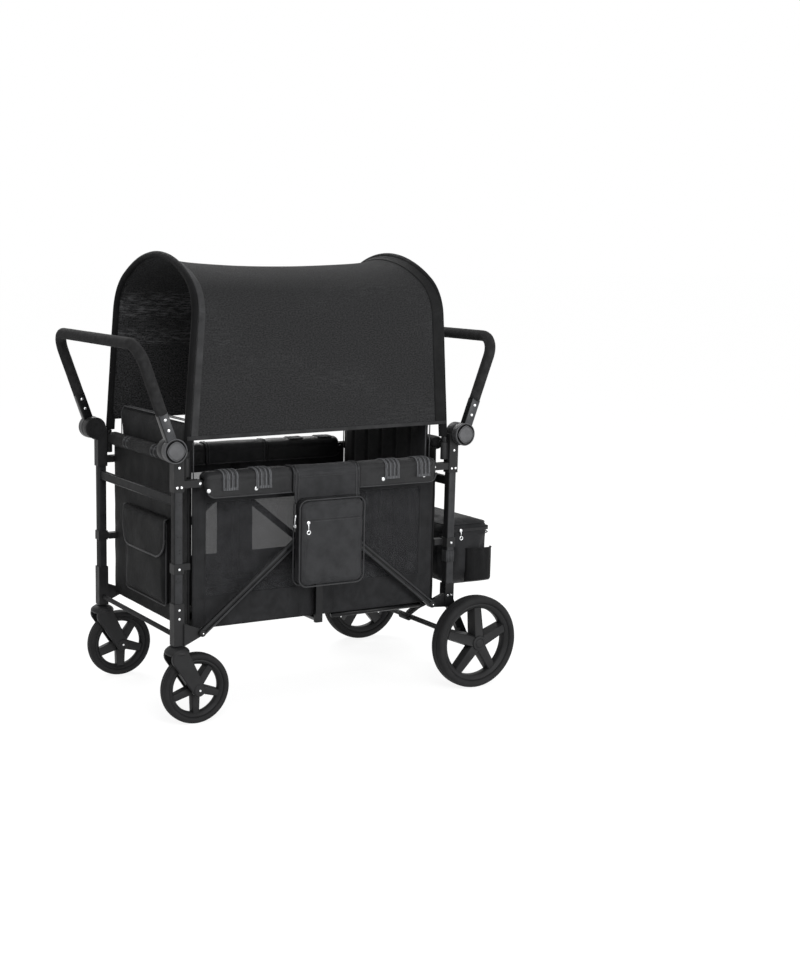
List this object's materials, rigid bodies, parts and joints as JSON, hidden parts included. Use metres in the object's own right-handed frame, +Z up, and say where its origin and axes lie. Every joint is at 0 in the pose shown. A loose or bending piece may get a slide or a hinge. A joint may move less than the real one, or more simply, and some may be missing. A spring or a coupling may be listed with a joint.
{
  "type": "folding stroller wagon",
  "caption": "Folding stroller wagon: fabric tub on scissor sides, swivel front wheels, large rear wheels, folding push handles and an arched canopy.",
  "frame": {"origin": "on the floor, under the middle of the whole wagon's bounding box", "axes": "+X towards the large fixed wheels, +Y across to the right side, +Z up"},
  "size_m": [1.2346, 0.712, 1.285],
  "materials": {
    "satin_frame": "satin",
    "black_plastic": "satin",
    "floor_board": "matte",
    "bright_metal": "polished",
    "tub_cloth": "matte",
    "bag_cloth": "matte",
    "canopy_cloth": "matte",
    "foam": "matte",
    "tyre": "matte"
  },
  "bodies": {
    "rear_frame": {"rear_posts": "satin_frame", "rear_upper_brackets": "black_plastic", "rear_legs": "satin_frame", "rear_cross_tubes": "satin_frame", "rear_axle": "satin_frame", "rear_collars": "black_plastic", "rear_panel": "tub_cloth", "rear_seat_back": "tub_cloth", "rear_bag": "bag_cloth", "rear_fasteners": "bright_metal", "rear_walls": "tub_cloth"},
    "front_frame": {"front_posts": "satin_frame", "front_upper_brackets": "black_plastic", "front_lower_brackets": "black_plastic", "front_cross_tubes": "satin_frame", "front_collars": "black_plastic", "front_panel": "tub_cloth", "front_pocket": "bag_cloth", "front_seat_back": "tub_cloth", "front_fasteners": "bright_metal", "front_walls": "tub_cloth"},
    "scissor_b": {"scissor_bars_b": "satin_frame", "scissor_pins": "bright_metal"},
    "scissor_a": {"scissor_bars_a": "satin_frame"},
    "center": {"center_frame": "satin_frame", "center_floor_plate": "floor_board", "side_pocket": "bag_cloth", "center_straps": "tub_cloth"},
    "front_rails": {"front_rails": "satin_frame", "front_rail_covers": "tub_cloth"},
    "rear_rails": {"rear_rails": "satin_frame", "rear_rail_covers": "tub_cloth"},
    "front_floor": {"front_floor_board": "floor_board", "front_seat_pad": "tub_cloth"},
    "rear_floor": {"rear_floor_board": "floor_board", "rear_seat_pad": "tub_cloth"},
    "front_canopy": {"front_hoop": "black_plastic"},
    "rear_canopy": {"rear_hoop": "black_plastic", "canopy_cover": "canopy_cloth"},
    "front_handle": {"front_handle_bar": "satin_frame", "front_handle_hubs": "black_plastic", "front_grip": "foam"},
    "rear_handle": {"rear_handle_bar": "satin_frame", "rear_handle_hubs": "black_plastic", "rear_grip": "foam"},
    "front_left_button": {"front_left_button": "black_plastic"},
    "front_right_button": {"front_right_button": "black_plastic"},
    "rear_left_button": {"rear_left_button": "black_plastic"},
    "rear_right_button": {"rear_right_button": "black_plastic"},
    "left_caster": {"caster_fork_left": "black_plastic"},
    "right_caster": {"caster_fork_right": "black_plastic"},
    "front_left_wheel": {"front_rim_left": "black_plastic", "front_tyre_left": "tyre"},
    "front_right_wheel": {"front_rim_right": "black_plastic", "front_tyre_right": "tyre"},
    "rear_left_wheel": {"rear_rim_left": "black_plastic", "rear_tyre_left": "tyre"},
    "rear_right_wheel": {"rear_rim_right": "black_plastic", "rear_tyre_right": "tyre"},
    "brake": {"brake_pedal": "black_plastic"}
  },
  "joints": [
    {"name": "fold", "type": "hinge", "parent": "rear_frame", "child": "scissor_b", "pos_m": [0.3463, 0, 0.259], "axis": [0, 1, 0], "range_deg": [0, 43.87], "deforming": ["front_walls", "rear_walls", "front_rail_covers", "rear_rail_covers", "center_straps", "front_seat_pad", "rear_seat_pad", "front_seat_back", "rear_seat_back", "canopy_cover"]},
    {"name": "fold_cross", "type": "hinge", "parent": "scissor_b", "child": "scissor_a", "pos_m": [-0.0337, 0, 0.562], "axis": [0, 1, 0], "range_deg": [-87.74, 0]},
    {"name": "fold_front", "type": "hinge", "parent": "scissor_a", "child": "front_frame", "pos_m": [-0.4137, 0, 0.259], "axis": [0, 1, 0], "range_deg": [0, 43.88]},
    {"name": "fold_center", "type": "hinge", "parent": "scissor_b", "child": "center", "pos_m": [-0.0337, 0, 0.562], "axis": [0, 1, 0], "range_deg": [-43.88, 0]},
    {"name": "fold_rear_rails", "type": "hinge", "parent": "rear_frame", "child": "rear_rails", "pos_m": [0.3463, 0, 0.66987], "axis": [0, 1, 0], "range_deg": [0, 80.37]},
    {"name": "fold_front_rails", "type": "hinge", "parent": "front_frame", "child": "front_rails", "pos_m": [-0.4137, 0, 0.66987], "axis": [0, 1, 0], "range_deg": [-80.37, 0]},
    {"name": "fold_rear_floor", "type": "hinge", "parent": "rear_frame", "child": "rear_floor", "pos_m": [0.3463, 0, 0.259], "axis": [0, 1, 0], "range_deg": [0, 89.93]},
    {"name": "fold_front_floor", "type": "hinge", "parent": "front_frame", "child": "front_floor", "pos_m": [-0.4137, 0, 0.259], "axis": [0, 1, 0], "range_deg": [-89.93, 0]},
    {"name": "canopy_lift", "type": "slide", "parent": "rear_frame", "child": "rear_canopy", "axis": [0, 0, 1], "range_m": [0, 0.06]},
    {"name": "front_canopy_lift", "type": "slide", "parent": "front_frame", "child": "front_canopy", "axis": [0, 0, 1], "range_m": [0, 0.06]},
    {"name": "front_handle_tilt", "type": "hinge", "parent": "front_frame", "child": "front_handle", "pos_m": [-0.4987, 0, 0.76487], "axis": [0, -1, 0], "range_deg": [-15, 156]},
    {"name": "rear_handle_tilt", "type": "hinge", "parent": "rear_frame", "child": "rear_handle", "pos_m": [0.4313, 0, 0.76487], "axis": [0, 1, 0], "range_deg": [-15, 125]},
    {"name": "front_left_button_press", "type": "slide", "parent": "front_handle", "child": "front_left_button", "axis": [0, 1, 0], "range_m": [0, 0.004], "stiffness_N_per_m": 400},
    {"name": "front_right_button_press", "type": "slide", "parent": "front_handle", "child": "front_right_button", "axis": [0, -1, 0], "range_m": [0, 0.004], "stiffness_N_per_m": 400},
    {"name": "rear_left_button_press", "type": "slide", "parent": "rear_handle", "child": "rear_left_button", "axis": [0, 1, 0], "range_m": [0, 0.004], "stiffness_N_per_m": 400},
    {"name": "rear_right_button_press", "type": "slide", "parent": "rear_handle", "child": "rear_right_button", "axis": [0, -1, 0], "range_m": [0, 0.004], "stiffness_N_per_m": 400},
    {"name": "left_caster_swivel", "type": "hinge", "parent": "front_frame", "child": "left_caster", "pos_m": [-0.4777, -0.2705, 0.22], "axis": [0, 0, 1], "continuous": true},
    {"name": "front_left_wheel_spin", "type": "hinge", "parent": "left_caster", "child": "front_left_wheel", "pos_m": [-0.4237, -0.2705, 0.1], "axis": [0, 1, 0], "continuous": true},
    {"name": "right_caster_swivel", "type": "hinge", "parent": "front_frame", "child": "right_caster", "pos_m": [-0.4777, 0.2705, 0.22], "axis": [0, 0, 1], "continuous": true},
    {"name": "front_right_wheel_spin", "type": "hinge", "parent": "right_caster", "child": "front_right_wheel", "pos_m": [-0.4237, 0.2705, 0.1], "axis": [0, 1, 0], "continuous": true},
    {"name": "rear_left_wheel_spin", "type": "hinge", "parent": "rear_frame", "child": "rear_left_wheel", "pos_m": [0.4773, -0.322, 0.14], "axis": [0, 1, 0], "continuous": true},
    {"name": "rear_right_wheel_spin", "type": "hinge", "parent": "rear_frame", "child": "rear_right_wheel", "pos_m": [0.4773, 0.322, 0.14], "axis": [0, 1, 0], "continuous": true},
    {"name": "brake_press", "type": "hinge", "parent": "rear_frame", "child": "brake", "pos_m": [0.4443, 0, 0.15], "axis": [0, 1, 0], "range_deg": [0, 20]}
  ],
  "couplings": [
    {"joint": "fold_cross", "follows": "fold", "ratio": -2},
    {"joint": "fold_front", "follows": "fold", "ratio": 1},
    {"joint": "fold_center", "follows": "fold", "ratio": -1},
    {"joint": "fold_rear_rails", "follows": "fold", "ratio": 1.832},
    {"joint": "fold_front_rails", "follows": "fold", "ratio": -1.832},
    {"joint": "fold_rear_floor", "follows": "fold", "ratio": 2.05},
    {"joint": "fold_front_floor", "follows": "fold", "ratio": -2.05},
    {"joint": "front_canopy_lift", "follows": "canopy_lift", "ratio": 1}
  ]
}
